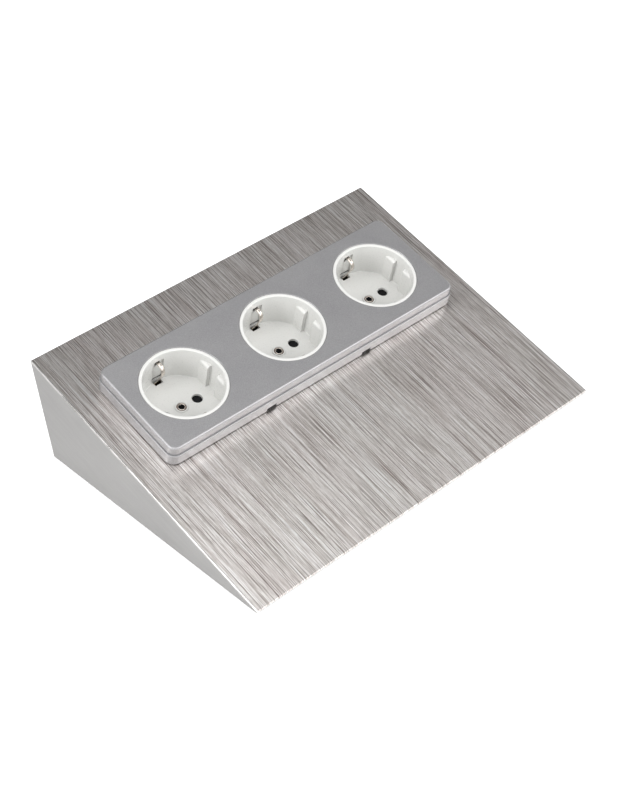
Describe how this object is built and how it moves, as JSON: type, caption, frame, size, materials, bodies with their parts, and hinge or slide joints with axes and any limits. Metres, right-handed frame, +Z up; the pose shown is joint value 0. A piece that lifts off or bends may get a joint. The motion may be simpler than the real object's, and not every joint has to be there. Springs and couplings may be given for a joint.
{
  "type": "desk power strip",
  "caption": "Wedge-shaped brushed steel desk socket console with a row of earthed round recessed mains sockets in a grey two-tier frame on its sloping top.",
  "frame": {"origin": "middle of the whole console's footprint, on the surface it stands on", "axes": "+X to the right along the row of sockets, +Y from the thin front edge to the back, +Z up"},
  "size_m": [0.21, 0.1596, 0.0589],
  "materials": {
    "brushed_steel": "stainless sheet brushed down the slope",
    "zinc_sheet": "zinc-plated sheet",
    "zinc_steel": "zinc-plated fasteners",
    "black_rubber": "matt rubber",
    "black_plastic": "moulded thermoplastic",
    "nickel_brass": "nickel-plated brass strip",
    "tinned_brass": "tinned brass",
    "frame_grey": "fine metallic grey lacquer on plastic, satin",
    "grey_plastic": "moulded thermoplastic",
    "dark_plastic": "moulded thermoset",
    "white_insert": "glossy white thermoset",
    "spring_steel": "drawn wire",
    "brass": "rolled strip",
    "brown_insulation": "lead insulation",
    "blue_insulation": "lead insulation",
    "earth_insulation": "lead insulation, green and yellow"
  },
  "bodies": {
    "housing": {"back_box": "grey_plastic", "base_frame": "frame_grey", "base_plate": "zinc_sheet", "base_plate_screws": "zinc_steel", "carrier_screws": "zinc_steel", "centre_screws": "zinc_steel", "cover_frame": "frame_grey", "earth_lead": "earth_insulation", "earth_nut": "zinc_steel", "earth_rail": "brass", "earth_ring_terminal": "tinned_brass", "earth_stud": "zinc_steel", "earth_washer": "zinc_steel", "flange_nuts": "zinc_steel", "housing_earth_lead": "earth_insulation", "housing_shell": "brushed_steel", "inlet_body": "black_plastic", "inlet_earth_pin": "nickel_brass", "inlet_live_pin": "nickel_brass", "inlet_neutral_pin": "nickel_brass", "inlet_nuts": "zinc_steel", "inlet_screws": "zinc_steel", "lead_receptacles": "tinned_brass", "left_contact_carrier": "dark_plastic", "left_earth_bridge": "brass", "left_live_contact": "brass", "left_neutral_contact": "brass", "left_shutter_spring": "spring_steel", "left_socket_insert": "white_insert", "live_lead": "brown_insulation", "live_rail": "brass", "middle_contact_carrier": "dark_plastic", "middle_earth_bridge": "brass", "middle_live_contact": "brass", "middle_neutral_contact": "brass", "middle_shutter_spring": "spring_steel", "middle_socket_insert": "white_insert", "neutral_lead": "blue_insulation", "neutral_rail": "brass", "panel_gasket": "black_rubber", "rail_terminals": "brass", "right_contact_carrier": "dark_plastic", "right_earth_bridge": "brass", "right_live_contact": "brass", "right_neutral_contact": "brass", "right_shutter_spring": "spring_steel", "right_socket_insert": "white_insert", "rubber_feet": "black_rubber", "terminal_screws": "zinc_steel", "unit_screws": "zinc_steel"},
    "left_shutter": {"left_shutter": "dark_plastic"},
    "left_front_earth_clip": {"left_front_earth_clip": "nickel_brass"},
    "left_rear_earth_clip": {"left_rear_earth_clip": "nickel_brass"},
    "middle_shutter": {"middle_shutter": "dark_plastic"},
    "middle_front_earth_clip": {"middle_front_earth_clip": "nickel_brass"},
    "middle_rear_earth_clip": {"middle_rear_earth_clip": "nickel_brass"},
    "right_shutter": {"right_shutter": "dark_plastic"},
    "right_front_earth_clip": {"right_front_earth_clip": "nickel_brass"},
    "right_rear_earth_clip": {"right_rear_earth_clip": "nickel_brass"}
  },
  "joints": [
    {"name": "left_shutter_turn", "type": "hinge", "parent": "housing", "child": "left_shutter", "pos_m": [-0.06, 0.02593, 0.02948], "axis": [0, -0.3378, 0.9412], "range_deg": [0, 40], "stiffness_Nm_per_rad": 0.003, "springref_deg": -17.19, "deforming": ["left_shutter_spring"]},
    {"name": "left_front_clip_flex", "type": "hinge", "parent": "housing", "child": "left_front_earth_clip", "pos_m": [-0.06, 0.00989, 0.01867], "axis": [1, 0, 0], "range_deg": [0, 5], "stiffness_Nm_per_rad": 0.02, "springref_deg": -5.73},
    {"name": "left_rear_clip_flex", "type": "hinge", "parent": "housing", "child": "left_rear_earth_clip", "pos_m": [-0.06, 0.04519, 0.03134], "axis": [-1, 0, 0], "range_deg": [0, 5], "stiffness_Nm_per_rad": 0.02, "springref_deg": -5.73},
    {"name": "middle_shutter_turn", "type": "hinge", "parent": "housing", "child": "middle_shutter", "pos_m": [0, 0.02593, 0.02948], "axis": [0, -0.3378, 0.9412], "range_deg": [0, 40], "stiffness_Nm_per_rad": 0.003, "springref_deg": -17.19, "deforming": ["middle_shutter_spring"]},
    {"name": "middle_front_clip_flex", "type": "hinge", "parent": "housing", "child": "middle_front_earth_clip", "pos_m": [0, 0.00989, 0.01867], "axis": [1, 0, 0], "range_deg": [0, 5], "stiffness_Nm_per_rad": 0.02, "springref_deg": -5.73},
    {"name": "middle_rear_clip_flex", "type": "hinge", "parent": "housing", "child": "middle_rear_earth_clip", "pos_m": [0, 0.04519, 0.03134], "axis": [-1, 0, 0], "range_deg": [0, 5], "stiffness_Nm_per_rad": 0.02, "springref_deg": -5.73},
    {"name": "right_shutter_turn", "type": "hinge", "parent": "housing", "child": "right_shutter", "pos_m": [0.06, 0.02593, 0.02948], "axis": [0, -0.3378, 0.9412], "range_deg": [0, 40], "stiffness_Nm_per_rad": 0.003, "springref_deg": -17.19, "deforming": ["right_shutter_spring"]},
    {"name": "right_front_clip_flex", "type": "hinge", "parent": "housing", "child": "right_front_earth_clip", "pos_m": [0.06, 0.00989, 0.01867], "axis": [1, 0, 0], "range_deg": [0, 5], "stiffness_Nm_per_rad": 0.02, "springref_deg": -5.73},
    {"name": "right_rear_clip_flex", "type": "hinge", "parent": "housing", "child": "right_rear_earth_clip", "pos_m": [0.06, 0.04519, 0.03134], "axis": [-1, 0, 0], "range_deg": [0, 5], "stiffness_Nm_per_rad": 0.02, "springref_deg": -5.73}
  ]
}
